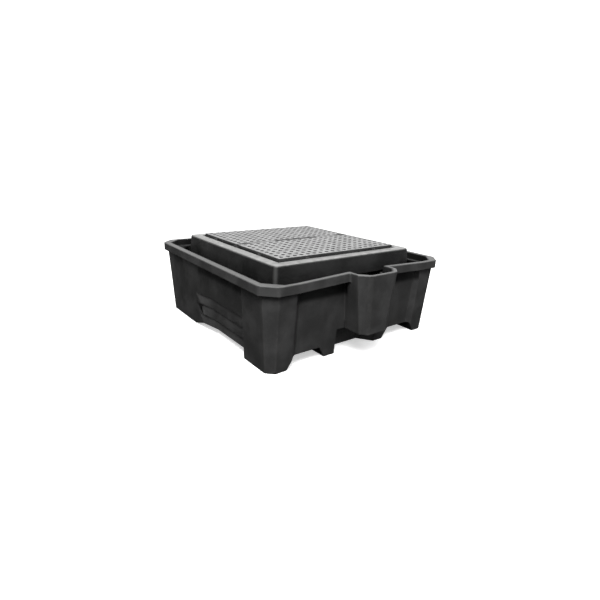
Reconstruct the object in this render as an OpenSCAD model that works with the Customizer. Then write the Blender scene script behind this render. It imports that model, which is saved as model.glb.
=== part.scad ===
// Spill containment pallet for one 1000-litre tote.
// Origin: on the floor, midway between the rim's sides and ends. The dispensing bowl faces -Y.

/* [Sump rim] */
// Length of the rim, side to side
rim_l = 1700; // [1680:5:1760]
// Width of the rim, front to back, without the bowl
rim_w = 1716; // [1700:4:1760]
// Height of the rim above the floor
rim_h = 604; // [590:2:620]
// Height of the outward lip
lip_h = 64; // [50:2:80]
// Chamfer of the rim's corners
rim_c = 92; // [80:2:110]
// How far the front rim climbs to meet the bowl
rim_rise = 15; // [10:1:24]

/* [Sump walls] */
// Length across the walls just under the lip
wall_l = 1636; // [1630:2:1650]
// Width across the walls just under the lip
wall_w = 1668; // [1660:2:1680]
// Length across the walls at the floor
base_l = 1570; // [1550:5:1590]
// Width across the walls at the floor
base_w = 1590; // [1570:5:1610]
// Thickness of the moulded skin
skin = 9; // [8:0.5:10]
// Depth of the recessed wall panels
recess = 28; // [20:1:32]
// Depth of the grooves across the side panels
groove_d = 12; // [6:1:14]

/* [Feet and fork pockets] */
// Height of the fork pockets
pocket_h = 85; // [75:1:95]
// Fork pocket edge nearest the middle, at the floor
pocket_in = 300; // [290:2:320]
// Fork pocket edge nearest the corner, at the floor
pocket_out = 645; // [620:2:660]
// Height of the arch between the side feet
arch_h = 52; // [40:1:60]
// Height of the hollow under the bowl
hollow_h = 190; // [170:2:210]

/* [Bowl] */
// Half width of the bowl at the rim
bowl_half = 192; // [184:1:210]
// Distance of the bowl's front from the middle, at the rim
bowl_front = 992; // [970:2:1010]

/* [Deck] */
// Height of the deck frame's top
frame_h = 673; // [660:1:690]
// Length of the deck frame's top, side to side
frame_l = 1312; // [1300:2:1330]
// Width of the deck frame's top, front to back
frame_w = 1314; // [1300:2:1330]
// Width of the frame's top surface
frame_top_w = 81.5; // [78:0.5:84]
// Thickness of a grate
grate_h = 50; // [46:1:54]
// How far the grates stand above the frame
proud = 20; // [16:1:24]
// Gap between the grates and the frame
gap = 18; // [16:1:22]
// Diameter of a drain hole
hole_d = 30; // [24:1:34]
// Hole spacing side to side
pitch_x = 57.5; // [56:0.5:58]
// Hole spacing front to back
pitch_y = 59; // [57:0.5:59]
// Outer diameter of a support column
column_d = 110; // [90:2:116]

/* [Hidden] */
$fn = 64;

far = 1100;
wall_top = rim_h - lip_h;
wall_c = 77;
base_c = 50;
opening_l = 1600;
opening_w = 1650;
opening_c = 100;
ledge_l = 1560;
ledge_w = 1594;
ledge_c = 90;
ledge_top = wall_top + skin;
wall_reach = wall_top + rim_rise + 5;
cut_top = wall_reach + 1;

front_panel_half = 605;
panel_ramp = 40;
overrun = 7;
side_panel_near = [-485, -510];
side_panel_far = [90, 265];
near_slope = panel_ramp / recess;
far_slope = 5.4;
groove_inset = 10;
grooves = [0, 125, 208, 287];
pocket_slope = 52;
side_arch = [-460, 140, 300];
hollow_half = 205;
hollow_back_half = 125;
hollow_y = [-767, -655];

bowl_chamfer = 66;
bowl_foot_half = 135;
bowl_foot_front = 975;
bowl_foot_chamfer = 45;
bowl_wall = 26;

frame_flare = 36;
frame_r = 40;
frame_skin = 9;
frame_foot_z = pocket_h + skin;
frame_skirt_z = 560;
flow_half = 380;
flow_z = 530;
ledge_reach = 35;
deck_z = frame_h + proud - grate_h;

opening_x = frame_l / 2 - frame_top_w;
opening_y = frame_w / 2 - frame_top_w;
grate_x = opening_x - gap;
grate_y = opening_y - gap;
seam = 2;
rib = 9;
plate_t = 12;
holes_x = 19;
holes_y = 9;
first_hole_y = 49.5;
rib_columns = [0, 3, 6, 9, 10, 13, 16, 19];
rib_rows = [0, 3, 6, 9];
slot_d = 15;
slot_half = 212;
end_slot = [440, 540];
tab_w = 28;
tab_x = 329;
tab_top = 40;

column_x = 470;
column_y = 370;
column_t = 8;
column_gap = 1;
socket_t = 7;
socket_h = 16;
socket_gap = 0.5;

function wall_x(z) = (base_l + (wall_l - base_l) * z / wall_top) / 2;
function wall_y(z) = (base_w + (wall_w - base_w) * z / wall_top) / 2;

// Middles of the ribs under a grate, counted in drain holes
function rib_x(i) = (rib_columns[i] - holes_x / 2) * pitch_x;
function rib_y(j) = first_hole_y + (rib_rows[j] - 0.5) * pitch_y;

// Corner points of a rectangle with 45-degree corners
function octagon(l, w, c) = [
  [l / 2 - c, -w / 2], [l / 2, -w / 2 + c], [l / 2, w / 2 - c], [l / 2 - c, w / 2],
  [-l / 2 + c, w / 2], [-l / 2, w / 2 - c], [-l / 2, -w / 2 + c], [-l / 2 + c, -w / 2]];

// Corner points of a rectangle with round corners
function rounded(l, w, r, steps = 8) = [
  for (corner = [0:3], i = [0:steps])
    let (a = -90 + 90 * corner + 90 * i / steps,
      sx = corner == 0 || corner == 1 ? 1 : -1,
      sy = corner == 1 || corner == 2 ? 1 : -1)
    [sx * (l / 2 - r) + r * cos(a), sy * (w / 2 - r) + r * sin(a)]];

// Outline of the bowl from above, open towards the sump
function bowl_outline(half, front, c, back) = [
  [half, -back], [-half, -back], [-half, -front + c], [-half + c, -front],
  [half - c, -front], [half, -front + c]];

// Section of a fork pocket, grown outwards by g
function pocket_section(g) = [
  [pocket_in - g, -1], [pocket_out + g, -1], [pocket_out - pocket_slope + g / 2, pocket_h + g],
  [pocket_in + pocket_slope - g / 2, pocket_h + g]];

// Solid between two outlines with the same number of points
module loft(lower, upper, z0, z1) {
  n = len(lower);
  polyhedron(
    points = concat([for (p = lower) [p[0], p[1], z0]], [for (p = upper) [p[0], p[1], z1]]),
    faces = concat(
      [[for (i = [0:n - 1]) i]],
      [[for (i = [0:n - 1]) 2 * n - 1 - i]],
      [for (i = [0:n - 1]) [(i + 1) % n, i, n + i]],
      [for (i = [0:n - 1]) [(i + 1) % n, n + i, n + (i + 1) % n]]));
}

function mirrored(outline, m) =
  [for (i = [len(outline) - 1:-1:0]) [m[0] * outline[i][0], m[1] * outline[i][1]]];

// A loft and its mirror image; m is [-1, 1] from side to side and [1, -1] from front to rear
module twin_loft(lower, upper, z0, z1, m) {
  loft(lower, upper, z0, z1);
  loft(mirrored(lower, m), mirrored(upper, m), z0, z1);
}

// A section drawn in Y and Z, extruded along X between x0 and x1
module along_x(x0, x1) {
  translate([x0, 0, 0]) rotate([90, 0, 90]) linear_extrude(x1 - x0) children();
}

// A section drawn in X and Z, extruded along Y between y0 and y1
module along_y(y0, y1) {
  translate([0, y1, 0]) rotate([90, 0, 0]) linear_extrude(y1 - y0) children();
}

module both_sides() {
  children();
  mirror([1, 0, 0]) children();
}

// Outside of the tub, without its recesses; it reaches up into the lip
module tub_outside() {
  loft(octagon(base_l, base_w, base_c), octagon(2 * wall_x(wall_reach), 2 * wall_y(wall_reach), wall_c), 0, wall_reach);
}

// Outline of a side panel at height z, cut deeper by g and with a skin of t round it:
// a short ramp at its near end, a long one at its far end
function side_panel_outline(z, g = 0, t = 0) =
  let (up = z / wall_top, near = side_panel_near * [1 - up, up] - t, end = side_panel_far * [1 - up, up] + t,
    x = -wall_x(z) + t, deep = recess + g, start = near - overrun * near_slope,
    past = end + (g + overrun) * far_slope)
  [[-far, start], [x - overrun, start], [x + deep, near + deep * near_slope],
    [x + deep, end - recess * far_slope], [x - overrun, past], [-far, past]];

// Outline of a groove across a side panel: square at its near end, following the panel's ramp at its far end
function groove_outline(z, g) =
  let (panel = side_panel_outline(z, g), start = side_panel_outline(z)[2][1] + groove_inset)
  [[-far, start], [panel[2][0], start], panel[3], panel[4], panel[5]];

// Recessed panels in both side walls, with three stepped grooves across each
module side_panel_cuts() {
  twin_loft(side_panel_outline(-1), side_panel_outline(cut_top), -1, cut_top, [-1, 1]);
  for (i = [1:3])
    twin_loft(groove_outline(grooves[i - 1], -2), groove_outline(grooves[i], groove_d),
      grooves[i - 1], grooves[i], [-1, 1]);
}

// Outline of an end panel at height z, with a short ramp at each end
function end_panel_outline(z) =
  let (y = -wall_y(z), edge = front_panel_half + overrun * near_slope, deep = front_panel_half - panel_ramp)
  [[edge, -far], [edge, y - overrun], [deep, y + recess], [-deep, y + recess], [-edge, y - overrun], [-edge, -far]];

// Recessed panels between the corner posts of the front and rear walls
module end_panel_cuts() {
  twin_loft(end_panel_outline(-1), end_panel_outline(cut_top), -1, cut_top, [1, -1]);
}

// What the side panels leave standing inside the tub
module side_panel_skins() {
  bends = [-1, grooves[3] + 10, grooves[3] + 40, ledge_top];
  depths = [groove_d, groove_d, 0, 0];
  for (i = [0:2])
    twin_loft(side_panel_outline(bends[i], depths[i], skin), side_panel_outline(bends[i + 1], depths[i + 1], skin),
      bends[i], bends[i + 1], [-1, 1]);
}

module end_panel_skin() {
  deep = recess + skin;
  half = front_panel_half + skin;
  along_x(-half, half)
    polygon([[-far, -1], [-far, ledge_top], [deep - wall_y(ledge_top), ledge_top], [deep - wall_y(0), -1]]);
}

// Low arch between the feet of one side, grown outwards by g
module side_arch_cut(g) {
  along_x(-far, -(pocket_in + pocket_out) / 2)
    polygon([[side_arch[0] - g, -1], [side_arch[0] - g, arch_h + g],
      [side_arch[1] + g / 2, arch_h + g], [side_arch[2] + 2 * g, 0], [side_arch[2] + 2 * g, -1]]);
}

module pocket_cut(g) {
  along_y(-far, far) polygon(pocket_section(g));
}

// Hollow under the bowl, grown outwards by g
module hollow_cut(g) {
  translate([0, 0, -1]) linear_extrude(hollow_h + 1 + g)
    polygon([[hollow_half + g, -far], [hollow_half + g, hollow_y[0]], [hollow_back_half + g, hollow_y[1] + g],
      [-hollow_back_half - g, hollow_y[1] + g], [-hollow_half - g, hollow_y[0]], [-hollow_half - g, -far]]);
}

// Section of the front rim's climb between the corner posts and the bowl
module rim_climb(z0) {
  polygon([[-front_panel_half, z0 - 1], [front_panel_half, z0 - 1], [front_panel_half, z0],
    [bowl_half, z0 + rim_rise], [-bowl_half, z0 + rim_rise], [-front_panel_half, z0]]);
}

// The outward lip, solid across the tub; its top and underside both climb to the bowl
module rim() {
  difference() {
    translate([0, 0, wall_top]) linear_extrude(lip_h) polygon(octagon(rim_l, rim_w, rim_c));
    along_y(-far, -ledge_w / 2 + skin) rim_climb(wall_top);
  }
  along_y(-rim_w / 2, -opening_w / 2 + skin) rim_climb(rim_h);
}

module bowl_outside() {
  loft(bowl_outline(bowl_foot_half, bowl_foot_front, bowl_foot_chamfer, 785),
    bowl_outline(bowl_half, bowl_front, bowl_chamfer, 785), hollow_h, rim_h + rim_rise);
}

module bowl_inside() {
  loft(bowl_outline(bowl_foot_half - skin, bowl_foot_front - skin, bowl_foot_chamfer, 740),
    bowl_outline(bowl_half - bowl_wall, bowl_front - bowl_wall, bowl_chamfer, 740),
    hollow_h + skin, rim_h + rim_rise + 1);
}

// Space inside the tub
module tub_inside() {
  difference() {
    union() {
      loft(octagon(base_l - 2 * skin, base_w - 2 * skin, base_c),
        octagon(wall_l - 2 * skin, wall_w - 2 * skin, wall_c), skin, wall_top - skin);
      translate([0, 0, wall_top - skin - 1]) linear_extrude(2 * skin + 1) polygon(octagon(ledge_l, ledge_w, ledge_c));
      translate([0, 0, ledge_top]) linear_extrude(lip_h + rim_rise) polygon(octagon(opening_l, opening_w, opening_c));
    }
    side_panel_skins();
    both_sides() {
      pocket_cut(skin);
      side_arch_cut(skin);
    }
    end_panel_skin();
    mirror([0, 1, 0]) end_panel_skin();
    hollow_cut(skin);
    along_y(-opening_w / 2 - skin, -ledge_w / 2) rim_climb(ledge_top);
  }
}

// Rings on the sump floor that the support columns stand in
module sockets() {
  for (ix = [-1:1], iy = [-1:1])
    translate([ix * column_x, iy * column_y, ix == 0 ? skin - 1 : frame_foot_z - 1]) difference() {
      cylinder(d = column_d + 2 * (socket_gap + socket_t), h = socket_h + 1);
      translate([0, 0, 1]) cylinder(d = column_d + 2 * socket_gap, h = socket_h + 1);
    }
}

module sump() {
  color("dimgray") {
    difference() {
      union() {
        difference() {
          tub_outside();
          side_panel_cuts();
          end_panel_cuts();
        }
        rim();
        bowl_outside();
      }
      tub_inside();
      bowl_inside();
      both_sides() {
        pocket_cut(0);
        side_arch_cut(0);
      }
      hollow_cut(0);
    }
    sockets();
  }
}

// Raised frame: flared skirt, flat top, and an inner ledge for the grates
module deck_frame() {
  foot_l = frame_l + 2 * frame_flare;
  foot_w = frame_w + 2 * frame_flare;
  t = frame_skin;
  color("dimgray") {
    difference() {
      loft(rounded(foot_l, foot_w, frame_r), rounded(frame_l, frame_w, frame_r), frame_foot_z, frame_h);
      loft(rounded(foot_l - 2 * t, foot_w - 2 * t, frame_r), rounded(frame_l - 2 * t, frame_w - 2 * t, frame_r),
        frame_foot_z - 1, frame_h - t);
      translate([-opening_x, -opening_y, 0]) cube([2 * opening_x, 2 * opening_y, far]);
      translate([-flow_half, -far, 0]) cube([2 * flow_half, 2 * far, flow_z]);
    }
    frame_band(0, t, deck_z - t, frame_h - t / 2);
    frame_band(-ledge_reach, t, deck_z - t, deck_z);
    frame_band(-ledge_reach, t - ledge_reach, frame_skirt_z, deck_z - t / 2);
  }
}

// Square band round the deck opening, between two offsets from its edge
module frame_band(inner, outer, z0, z1) {
  translate([0, 0, z0]) linear_extrude(z1 - z0) difference() {
    square([2 * (opening_x + outer), 2 * (opening_y + outer)], center = true);
    square([2 * (opening_x + inner), 2 * (opening_y + inner)], center = true);
  }
}

// Rear grate, with its seam edge along the X axis
module grate_panel() {
  difference() {
    union() {
      translate([-grate_x, seam, deck_z]) cube([2 * grate_x, grate_y - seam, grate_h]);
      for (s = [-1, 1]) {
        translate([s * tab_x - tab_w / 2, grate_y - 1, deck_z]) cube([tab_w, gap, tab_top]);
        translate([s * (grate_x + gap / 2 - 1) - gap / 2, tab_x - tab_w / 2, deck_z]) cube([gap, tab_w, tab_top]);
        translate([s * (grate_x + gap / 2 - 1) - gap / 2, seam, deck_z]) cube([gap, tab_w * 0.75, tab_top]);
      }
    }
    translate([-slot_half, -1, 0]) cube([2 * slot_half, slot_d + seam + 1, far]);
    for (s = [-1, 1])
      translate([s * (end_slot[0] + end_slot[1]) / 2 - (end_slot[1] - end_slot[0]) / 2, -1, 0])
        cube([end_slot[1] - end_slot[0], slot_d + seam + 1, far]);
    grid(deck_z - 1, far) circle(d = hole_d);
    rib_cells();
  }
}

// Open cells under a grate's plate, between ribs that pass between the drain holes
module rib_cells() {
  for (i = [1:len(rib_columns) - 1], j = [1:len(rib_rows) - 1])
    translate([rib_x(i - 1) + rib / 2, rib_y(j - 1) + rib / 2, deck_z - 1])
      cube([rib_x(i) - rib_x(i - 1) - rib, rib_y(j) - rib_y(j - 1) - rib, grate_h - plate_t + 1]);
}

// A shape repeated at every drain hole and extruded between two heights
module grid(z0, z1) {
  translate([0, 0, z0]) linear_extrude(z1 - z0)
    for (i = [0:holes_x - 1], j = [0:holes_y - 1])
      translate([(i - (holes_x - 1) / 2) * pitch_x, first_hole_y + j * pitch_y]) children();
}

module grate_front() {
  color("darkgray") mirror([0, 1, 0]) grate_panel();
}

module grate_rear() {
  color("darkgray") grate_panel();
}

// Hollow column between the sump floor and the grates; ix and iy are -1, 0 or 1
module column(ix, iy) {
  foot = ix == 0 ? skin : frame_foot_z;
  h = deck_z - column_gap - foot;
  color("gray") translate([ix * column_x, iy * column_y, foot]) difference() {
    cylinder(d = column_d, h = h);
    translate([0, 0, -1]) cylinder(d = column_d - 2 * column_t, h = h - column_t + 1);
  }
}

sump();
deck_frame();
grate_front();
grate_rear();
column(-1, -1);  // column_front_left
column(0, -1);  // column_front_middle
column(1, -1);  // column_front_right
column(-1, 0);  // column_middle_left
column(0, 0);  // column_centre
column(1, 0);  // column_middle_right
column(-1, 1);  // column_rear_left
column(0, 1);  // column_rear_middle
column(1, 1);  // column_rear_right
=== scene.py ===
"""Looks of the spill containment pallet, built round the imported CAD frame.

Metres, +Z up, the origin on the floor under the middle of the sump, the dispensing bowl facing -Y.
"""

import math

import bmesh
import bpy
from mathutils import Matrix, Vector


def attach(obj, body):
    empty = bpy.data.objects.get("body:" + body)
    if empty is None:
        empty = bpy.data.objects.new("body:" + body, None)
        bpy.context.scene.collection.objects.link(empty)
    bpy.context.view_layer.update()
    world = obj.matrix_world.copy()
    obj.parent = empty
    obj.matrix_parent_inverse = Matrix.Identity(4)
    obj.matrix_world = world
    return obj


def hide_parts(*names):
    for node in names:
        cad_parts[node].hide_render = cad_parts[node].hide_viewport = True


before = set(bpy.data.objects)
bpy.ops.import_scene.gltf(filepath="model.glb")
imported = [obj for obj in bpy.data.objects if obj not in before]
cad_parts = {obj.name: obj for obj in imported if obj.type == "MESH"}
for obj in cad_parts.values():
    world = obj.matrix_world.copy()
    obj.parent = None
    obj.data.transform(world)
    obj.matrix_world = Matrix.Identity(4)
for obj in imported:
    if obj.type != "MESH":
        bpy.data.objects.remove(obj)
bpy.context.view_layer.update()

# ---------------------------------------------------------------- places on the object, in metres
LIP_BOTTOM = 0.540
RIM_TOP = 0.604
FRAME_TOP = 0.673
GRATE_TOP = 0.693
BOWL_FRONT = -0.86
BOWL_FRONT_CORNER = -0.96
FEET_TOP = 0.1
FRAME_EDGE = 0.62
GRATE_EDGE = 0.55
NEAR = 0.002

# Each is half a width across X, half a width along Y, and the sum of both at the cut-off corners
OPENING_INSIDE = (0.800, 0.825, 1.525)
PANEL_INSIDE = (0.800, 0.825, 1.450)
BOWL_INSIDE = (0.170, 0.970, 1.080)

# ---------------------------------------------------------------- roundings, in metres
LIP_ROUND = 0.007
LIP_INNER_ROUND = 0.006
LIP_UNDER_ROUND = 0.005
CORNER_ROUND = 0.016
PANEL_ROUND = 0.007
SMALL_ROUND = 0.003
BOWL_ROUND = 0.024
FRAME_TOP_ROUND = 0.012
FRAME_ROUND = 0.004
HOLE_ROUND = 0.0012
GRATE_SIDE_ROUND = 0.013
ROUND_STEPS = 4
# The share of its narrower face that an edge's rounding may take up
ROOM = 0.42
WELD = 2e-5
FLAT = math.radians(0.6)
SHARP = math.radians(12)
# The height of a unit direction above which an edge counts as steep
STEEP = 0.5
STRAIGHT = 0.99

# ---------------------------------------------------------------- painted shade and highlight
# Where each fades out, in metres
RIM_SHADE = 0.018
EDGE_SHADE = 0.005
LEDGE_SHADE = 0.004
PANEL_SHADE = (0.440, 0.480)
SEAM_SHADE = (0.006, 0.014)
SLOT_SHADE = (0.0175, 0.0195)
SLOT_TOP_SHADE = (GRATE_TOP - 0.006, GRATE_TOP - 0.001)
# The colour that painted shade is drawn towards
DEEP_BLACK = (0.003, 0.003, 0.003)
# How sideways a corner faces between X and Y, from no painted highlight to the most
HIGHLIGHT_FACING = (0.25, 0.68)

# ---------------------------------------------------------------- studio
BELOW_LIGHT = 0.004
HORIZON_LIGHT = 0.1
ZENITH_LIGHT = 1.5
BELOW_FADE = -0.12
BACKDROP_LIGHT = 1.15
FLOOR_GLOW = 0.5
STAGE_RADIUS = 50
STAGE_SIDES = 96
BACKDROP_TOP = 55
LIGHT_SIZE = (3.0, 3.0)
OVERHEAD = {"place": (0.5, 0.4, 4.0), "aim": (0, 0, 0.5), "power": 90}
KEY = {"place": (-2.8, -3.6, 5.6), "aim": (0, 0, 0.4), "power": 520}
CAMERA_PLACE = (-2.0826, -2.7425, 1.2972)
CAMERA_TURN = math.radians(-38.091)
CAMERA_TILT = math.radians(90 - 18.374)
CAMERA_ROLL = math.radians(2.299)
CAMERA_LENS = 24.79
CAMERA_SENSOR = 36
CAMERA_REACH = 200


# ---------------------------------------------------------------- node material helpers
def grey(value):
    return (value, value, value)


def new_material(name):
    """An empty node material and its node tree."""
    material = bpy.data.materials.new(name)
    material.use_nodes = True
    material.node_tree.nodes.clear()
    return material, material.node_tree


def add(tree, kind, settings=None, **inputs):
    """A node with its settings, and each input set to a number or linked to another node's socket.

    An input is named as on the node, with _ for a space, or i0, i1 and so on by its place.
    """
    node = tree.nodes.new(kind)
    for key, value in (settings or {}).items():
        setattr(node, key, value)
    for key, value in inputs.items():
        by_place = key[0] == "i" and key[1:].isdigit()
        socket = node.inputs[int(key[1:])] if by_place else node.inputs[key.replace("_", " ")]
        if isinstance(value, bpy.types.NodeSocket):
            tree.links.new(value, socket)
        else:
            socket.default_value = value
    return node


def noise(tree, coords, scale, detail, roughness=0.5, stretch=(1, 1, 1)):
    """A noise value between 0 and 1, at scale features per metre."""
    mapping = add(tree, "ShaderNodeMapping", Vector=coords, Scale=stretch)
    return add(tree, "ShaderNodeTexNoise", Vector=mapping.outputs[0], Scale=scale, Detail=detail,
               Roughness=roughness).outputs[0]


def ramp(tree, value, low, high, to_low=0.0, to_high=1.0):
    """value taken from the range low..high to to_low..to_high, smoothly, and held at the ends."""
    return add(tree, "ShaderNodeMapRange", {"interpolation_type": "SMOOTHSTEP"}, i0=value, i1=low, i2=high,
               i3=to_low, i4=to_high).outputs[0]


def fade(tree, value, low, high):
    """1 where value is under low, 0 where it is over high."""
    return ramp(tree, value, low, high, 1.0, 0.0)


def patches(tree, coords, low, high, least=0.0, **pattern):
    """Noise sharpened into patches: least where it is under low, 1 where it is over high."""
    return ramp(tree, noise(tree, coords, **pattern), low, high, least, 1.0)


def math_node(tree, operation, a, b=0.0):
    return add(tree, "ShaderNodeMath", {"operation": operation}, i0=a, i1=b).outputs[0]


def blend(tree, factor, a, b):
    """The colour between a and b."""
    node = add(tree, "ShaderNodeMix", {"data_type": "RGBA"}, i0=factor)
    for value, socket in ((a, node.inputs[6]), (b, node.inputs[7])):
        if isinstance(value, bpy.types.NodeSocket):
            tree.links.new(value, socket)
        else:
            socket.default_value = (*value, 1)
    return node.outputs[2]


def tint(tree, colour, mask, strength, target):
    """colour taken towards target by strength where mask is 1."""
    return blend(tree, math_node(tree, "MULTIPLY", mask, strength), colour, target)


# ---------------------------------------------------------------- painted shade and highlight
def corner_highlight_mask(tree, facing):
    """1 on surfaces that face midway between X and Y, 0 on the sides: a painted stand-in for gloss."""
    sideways = [math_node(tree, "ABSOLUTE", facing[axis]) for axis in range(2)]
    return ramp(tree, math_node(tree, "MINIMUM", *sideways), *HIGHLIGHT_FACING)


def past(tree, across, along, half_across, half_along, corner):
    """How far a point is outside a rectangle round the origin with its corners cut off."""
    sides = math_node(tree, "MAXIMUM", math_node(tree, "SUBTRACT", across, half_across),
                      math_node(tree, "SUBTRACT", along, half_along))
    past_corner = math_node(tree, "SUBTRACT", math_node(tree, "ADD", across, along), corner)
    return math_node(tree, "MAXIMUM", sides, past_corner)


def deep_shade_mask(tree, coords):
    """1 inside the lip and the bowl and high up in the wall panels: a painted stand-in for deep shade."""
    place = add(tree, "ShaderNodeSeparateXYZ", Vector=coords).outputs
    across, along = (math_node(tree, "ABSOLUTE", place[axis]) for axis in range(2))
    above_ledge = ramp(tree, place[2], LIP_BOTTOM, LIP_BOTTOM + LEDGE_SHADE)
    in_opening = fade(tree, past(tree, across, along, *OPENING_INSIDE), 0.0, RIM_SHADE)
    in_bowl = fade(tree, past(tree, across, along, *BOWL_INSIDE), 0.0, EDGE_SHADE)
    in_panel = math_node(tree, "MULTIPLY", ramp(tree, place[2], *PANEL_SHADE),
                         fade(tree, past(tree, across, along, *PANEL_INSIDE), 0.0, EDGE_SHADE))
    in_rim = math_node(tree, "MULTIPLY", above_ledge, math_node(tree, "MAXIMUM", in_opening, in_bowl))
    return math_node(tree, "MAXIMUM", in_rim, in_panel)


def near_seam(tree, coords):
    """1 where the two grates meet and down in their slots: a painted stand-in for deep shade."""
    place = add(tree, "ShaderNodeSeparateXYZ", Vector=coords).outputs
    along = math_node(tree, "ABSOLUTE", place[1])
    in_slot = math_node(tree, "MULTIPLY", fade(tree, along, *SLOT_SHADE),
                        fade(tree, place[2], *SLOT_TOP_SHADE))
    return math_node(tree, "MAXIMUM", in_slot, fade(tree, along, *SEAM_SHADE))


# ---------------------------------------------------------------- materials
def moulded_plastic(name, dark, light, dust, roughness, specular, grain_depth, settled_dust, deep_shade=0.0,
                    painted_highlight=0.0, seam=0.0):
    """Rotomoulded polyethylene: fine grain, soft waves, clouded colour, dust on top and pale worn edges, and
    where asked painted deep shade and a painted corner highlight.
    """
    material, tree = new_material(name)
    coords = add(tree, "ShaderNodeTexCoord").outputs["Object"]
    normal = add(tree, "ShaderNodeNewGeometry").outputs["Normal"]
    facing = add(tree, "ShaderNodeSeparateXYZ", Vector=normal).outputs
    worn_edge = add(tree, "ShaderNodeAttribute", {"attribute_name": "edge"}).outputs["Fac"]

    clouds = patches(tree, coords, 0.35, 0.68, scale=5, detail=5, roughness=0.6)
    streaks = patches(tree, coords, 0.5, 0.75, scale=9, detail=4, roughness=0.6, stretch=(1, 1, 0.12))
    speckle = patches(tree, coords, 0.52, 0.72, scale=420, detail=3, roughness=0.7)
    scratches = patches(tree, coords, 0.64, 0.72, scale=60, detail=6, roughness=0.75,
                        stretch=(0.25, 0.25, 2.5))
    settled = math_node(tree, "MULTIPLY", ramp(tree, facing[2], 0.55, 0.98),
                        patches(tree, coords, 0.3, 0.7, least=0.55, scale=18, detail=6, roughness=0.65))
    wear = math_node(tree, "MULTIPLY", worn_edge,
                     patches(tree, coords, 0.42, 0.62, least=0.15, scale=35, detail=5, roughness=0.7))

    colour = blend(tree, clouds, dark, light)
    colour = tint(tree, colour, streaks, 0.25, [channel * 1.8 for channel in light])
    for mask, strength in ((speckle, 0.18), (settled, settled_dust), (scratches, 0.16), (wear, 0.08)):
        colour = tint(tree, colour, mask, strength, dust)
    # A painted highlight on corners that face midway between X and Y, standing in for gloss
    if painted_highlight:
        colour = tint(tree, colour, corner_highlight_mask(tree, facing), painted_highlight, dust)
    # Painted deep shade inside the lip and the bowl and high up in the wall panels
    if deep_shade:
        colour = tint(tree, colour, deep_shade_mask(tree, coords), deep_shade, DEEP_BLACK)
    # Painted deep shade where the two grates meet and down in their slots
    if seam:
        colour = tint(tree, colour, near_seam(tree, coords), seam, DEEP_BLACK)

    marks = math_node(tree, "MULTIPLY", math_node(tree, "ADD", speckle, scratches), 0.08)
    rough = math_node(tree, "ADD", ramp(tree, clouds, 0, 1, roughness - 0.05, roughness + 0.05), marks)

    waves = add(tree, "ShaderNodeBump", Strength=1.0, Distance=0.004,
                Height=noise(tree, coords, scale=7, detail=1.5, roughness=0.4))
    grain = add(tree, "ShaderNodeBump", Strength=0.6, Distance=grain_depth, Normal=waves.outputs[0],
                Height=noise(tree, coords, scale=520, detail=2.5, roughness=0.55))
    shader = add(tree, "ShaderNodeBsdfPrincipled", Base_Color=colour, Roughness=rough,
                 Normal=grain.outputs[0])
    shader.inputs["Specular IOR Level"].default_value = specular
    shader.inputs["IOR"].default_value = 1.5
    tree.links.new(shader.outputs[0], add(tree, "ShaderNodeOutputMaterial").inputs[0])
    return material


def sump_plastic():
    # Paints deep shade inside the lip and the bowl and high up in the wall panels
    return moulded_plastic("black_polyethylene", grey(0.034), grey(0.050), dust=(0.16, 0.16, 0.155),
                           roughness=0.45, specular=0.35, grain_depth=0.00025, settled_dust=0.2, deep_shade=0.95)


def frame_plastic():
    # Paints a highlight on the frame's rounded corners, standing in for gloss
    return moulded_plastic("deck_frame_plastic", grey(0.006), grey(0.012), dust=(0.28, 0.28, 0.275),
                           roughness=0.38, specular=0.3, grain_depth=0.00025, settled_dust=0.72, painted_highlight=0.14)


def column_plastic():
    return moulded_plastic("column_plastic", grey(0.010), grey(0.018), dust=(0.16, 0.16, 0.155),
                           roughness=0.45, specular=0.35, grain_depth=0.0002, settled_dust=0.1)


def grate_plastic():
    # Paints deep shade where the two grates meet and down in their slots
    return moulded_plastic("grate_plastic", grey(0.012), grey(0.024), dust=grey(0.36), roughness=0.5,
                           specular=0.4, grain_depth=0.0004, settled_dust=0.53, seam=0.9)


# ---------------------------------------------------------------- pieces
def welded(node):
    """The mesh of a CAD node with its seams welded and its flat faces joined."""
    bm = bmesh.new()
    bm.from_mesh(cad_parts[node].data)
    bmesh.ops.remove_doubles(bm, verts=bm.verts, dist=WELD)
    bmesh.ops.dissolve_limit(bm, angle_limit=FLAT, verts=bm.verts, edges=bm.edges)
    bm.edges.index_update()
    bm.normal_update()
    return bm


def room_for(edge):
    """The widest rounding that the two faces of an edge leave room for."""
    return ROOM * min(face.calc_area() for face in edge.link_faces) / edge.calc_length()


def set_roundings(bm, round_of):
    """Writes each sharp edge's rounding as its bevel weight, and gives the widest."""
    widths = {}
    for edge in bm.edges:
        if len(edge.link_faces) != 2 or edge.calc_face_angle(0) < SHARP:
            continue
        middle = (edge.verts[0].co + edge.verts[1].co) / 2
        along = (edge.verts[1].co - edge.verts[0].co).normalized()
        widths[edge.index] = min(round_of(middle, along, edge), room_for(edge))
    widest = max(widths.values())
    weight = bm.edges.layers.float.new("bevel_weight_edge")
    for edge in bm.edges:
        if edge.index in widths:
            edge[weight] = widths[edge.index] / widest
    return widest


def rounded_mesh(piece, widest):
    """The piece's mesh with its weighted edges rounded; the roundings take the second material slot."""
    bevel = piece.modifiers.new("rounded", "BEVEL")
    bevel.limit_method = "WEIGHT"
    bevel.width = widest
    bevel.segments = ROUND_STEPS
    bevel.use_clamp_overlap = False
    bevel.material = 1
    normals = piece.modifiers.new("normals", "WEIGHTED_NORMAL")
    normals.weight = 100
    normals.keep_sharp = False
    depsgraph = bpy.context.evaluated_depsgraph_get()
    rounded = bpy.data.meshes.new_from_object(piece.evaluated_get(depsgraph))
    piece.modifiers.clear()
    return rounded


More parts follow.
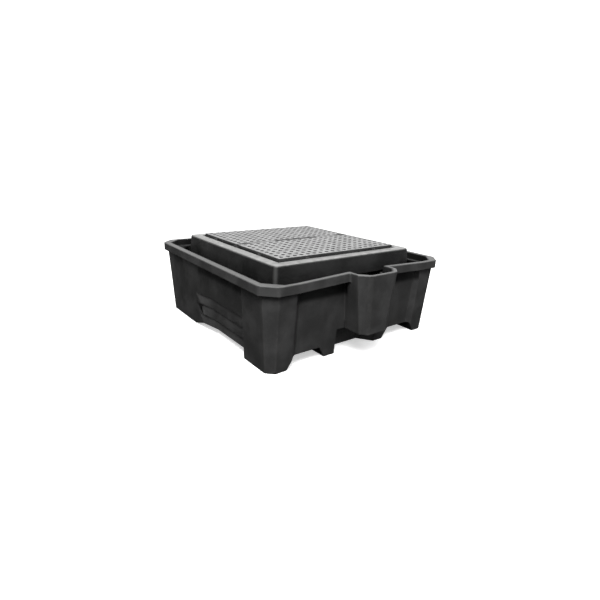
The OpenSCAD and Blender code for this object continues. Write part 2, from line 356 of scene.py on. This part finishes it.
def mark_worn(mesh):
    """Makes the attribute "edge" rise from 0 to 1 across each rounding, then puts all faces in one slot."""
    flat = set()
    for face in mesh.polygons:
        if face.material_index == 0:
            flat.update(face.vertices)
    edge = mesh.attributes.new("edge", "FLOAT", "CORNER")
    for face in mesh.polygons:
        for loop in face.loop_indices:
            edge.data[loop].value = 0.0 if mesh.loops[loop].vertex_index in flat else 1.0
        face.material_index = 0
    mesh.materials.pop(index=1)


def keep_inside(mesh, node):
    """Moves any corner that a rounding threw outside the CAD node's box back onto it."""
    corners = [vertex.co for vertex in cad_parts[node].data.vertices]
    low = [min(corner[axis] for corner in corners) for axis in range(3)]
    high = [max(corner[axis] for corner in corners) for axis in range(3)]
    for vertex in mesh.vertices:
        vertex.co = [min(max(vertex.co[axis], low[axis]), high[axis]) for axis in range(3)]


def rounded_piece(name, node, body, round_of, material):
    """A copy of a CAD node with soft edges.

    round_of gives an edge's rounding from its middle, its direction and the edge itself.
    """
    bm = welded(node)
    widest = set_roundings(bm, round_of)
    mesh = bpy.data.meshes.new(name)
    bm.to_mesh(mesh)
    bm.free()
    for face in mesh.polygons:
        face.use_smooth = True
    for _ in range(2):
        mesh.materials.append(material)
    piece = bpy.data.objects.new(name, mesh)
    bpy.context.scene.collection.objects.link(piece)
    piece.data = rounded_mesh(piece, widest)
    mark_worn(piece.data)
    keep_inside(piece.data, node)
    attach(piece, body)
    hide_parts(node)


def sump_round(middle, along, edge):
    """The lip's edges by their place on it, wide ones at the bowl's front, small ones round the feet."""
    if middle.z > LIP_BOTTOM - NEAR:
        at_top = middle.z > RIM_TOP - NEAR
        outer = max(abs(middle.x) - OPENING_INSIDE[0], abs(middle.y) - OPENING_INSIDE[1]) > 2 * NEAR
        if abs(along.z) >= STEEP:
            return CORNER_ROUND if outer else LIP_INNER_ROUND
        if outer and at_top:
            return LIP_ROUND
        return LIP_INNER_ROUND if at_top else LIP_UNDER_ROUND
    if abs(along.z) > STEEP and middle.z > FEET_TOP:
        soft = middle.y < BOWL_FRONT and edge.is_convex and (middle.x > 0 or middle.y < BOWL_FRONT_CORNER)
        return BOWL_ROUND if soft else PANEL_ROUND
    return SMALL_ROUND


def frame_round(middle, along, edge):
    """A wide rounding round the outside of the frame's top, a small one elsewhere."""
    level = abs(along.z) <= STEEP
    round_top = middle.z > FRAME_TOP - NEAR / 2 and max(abs(middle.x), abs(middle.y)) > FRAME_EDGE
    return FRAME_TOP_ROUND if level and round_top else FRAME_ROUND


def grate_round(middle, along, edge):
    """A wide rounding along a grate's two sides, a fine one round its holes, and none underneath."""
    if middle.z < GRATE_TOP - 1.5 * NEAR:
        return 0.0
    return GRATE_SIDE_ROUND if abs(along.y) > STRAIGHT and abs(middle.x) > GRATE_EDGE else HOLE_ROUND


def make_pieces():
    rounded_piece("sump_shell", "sump", "sump", sump_round, sump_plastic())
    rounded_piece("deck_frame_shell", "deck_frame", "deck_frame", frame_round, frame_plastic())
    grate = grate_plastic()
    for side in ("front", "rear"):
        rounded_piece(f"grate_{side}_panel", f"grate_{side}", f"grate_{side}", grate_round, grate)
    pipe = column_plastic()
    for name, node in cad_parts.items():
        if name.startswith("column"):
            node.material_slots[0].material = pipe


# ---------------------------------------------------------------- studio
def stage_piece(name, bm, colours, glow):
    """A glowing part of the studio that adds nothing to the light on matt surfaces."""
    mesh = bpy.data.meshes.new(name)
    bm.to_mesh(mesh)
    bm.free()
    piece = bpy.data.objects.new(name, mesh)
    bpy.context.scene.collection.objects.link(piece)
    material, tree = new_material(name)
    coords = add(tree, "ShaderNodeTexCoord").outputs["Object"]
    colour = blend(tree, noise(tree, coords, scale=0.8, detail=3), *colours)
    shader = add(tree, "ShaderNodeBsdfPrincipled", Base_Color=colour, Roughness=0.8)
    shader.inputs["Specular IOR Level"].default_value = 0.1
    shader.inputs["Emission Color"].default_value = (1, 1, 1, 1)
    shader.inputs["Emission Strength"].default_value = glow
    tree.links.new(shader.outputs[0], add(tree, "ShaderNodeOutputMaterial").inputs[0])
    mesh.materials.append(material)
    piece.visible_diffuse = False
    return piece


def make_floor():
    """A pale floor, wide enough to reach the backdrop."""
    bm = bmesh.new()
    bmesh.ops.create_circle(bm, cap_ends=True, segments=STAGE_SIDES, radius=STAGE_RADIUS)
    floor = stage_piece("studio_floor", bm, (grey(0.86), grey(0.9)), FLOOR_GLOW)
    floor.visible_glossy = False


def make_backdrop():
    """A glowing white wall all round, far behind the object."""
    bm = bmesh.new()
    bmesh.ops.create_circle(bm, segments=STAGE_SIDES, radius=STAGE_RADIUS)
    sides = bmesh.ops.extrude_edge_only(bm, edges=bm.edges[:])["geom"]
    top = [item for item in sides if isinstance(item, bmesh.types.BMVert)]
    bmesh.ops.translate(bm, vec=(0, 0, BACKDROP_TOP), verts=top)
    stage_piece("studio_backdrop", bm, (grey(0.1), grey(0.12)), BACKDROP_LIGHT)


def make_camera():
    """The camera at the photograph's viewing angle: 18 degrees down, seen from the front left."""
    data = bpy.data.cameras.new("camera")
    data.lens = CAMERA_LENS
    data.sensor_width = CAMERA_SENSOR
    data.clip_end = CAMERA_REACH
    camera = bpy.data.objects.new("camera", data)
    bpy.context.scene.collection.objects.link(camera)
    turns = (Matrix.Rotation(CAMERA_TURN, 4, "Z") @ Matrix.Rotation(CAMERA_TILT, 4, "X")
             @ Matrix.Rotation(CAMERA_ROLL, 4, "Z"))
    camera.matrix_world = Matrix.Translation(CAMERA_PLACE) @ turns
    bpy.context.scene.camera = camera


def area_light(name, place, aim, power):
    data = bpy.data.lights.new(name, "AREA")
    data.shape = "RECTANGLE"
    data.size, data.size_y = LIGHT_SIZE
    data.energy = power
    light = bpy.data.objects.new(name, data)
    bpy.context.scene.collection.objects.link(light)
    light.location = place
    light.rotation_euler = (Vector(aim) - Vector(place)).to_track_quat("-Z", "Y").to_euler()


def make_world():
    """Soft light from the sky, brightest overhead and dim from below the horizon."""
    world = bpy.data.worlds.new("studio")
    bpy.context.scene.world = world
    world.use_nodes = True
    tree = world.node_tree
    tree.nodes.clear()
    direction = add(tree, "ShaderNodeTexCoord").outputs["Generated"]
    height = add(tree, "ShaderNodeSeparateXYZ", Vector=direction).outputs[2]
    below = ramp(tree, height, BELOW_FADE, 0.0, BELOW_LIGHT, HORIZON_LIGHT)
    above = ramp(tree, height, 0.0, 1.0, 0.0, ZENITH_LIGHT - HORIZON_LIGHT)
    glow = add(tree, "ShaderNodeBackground", i0=(1, 1, 1, 1), i1=math_node(tree, "ADD", below, above))
    tree.links.new(glow.outputs[0], add(tree, "ShaderNodeOutputWorld").inputs[0])


def make_studio():
    make_floor()
    make_backdrop()
    make_world()
    area_light("overhead", **OVERHEAD)
    area_light("key", **KEY)
    make_camera()
    view = bpy.context.scene.view_settings
    view.view_transform = "Standard"
    view.look = "None"


make_pieces()
make_studio()
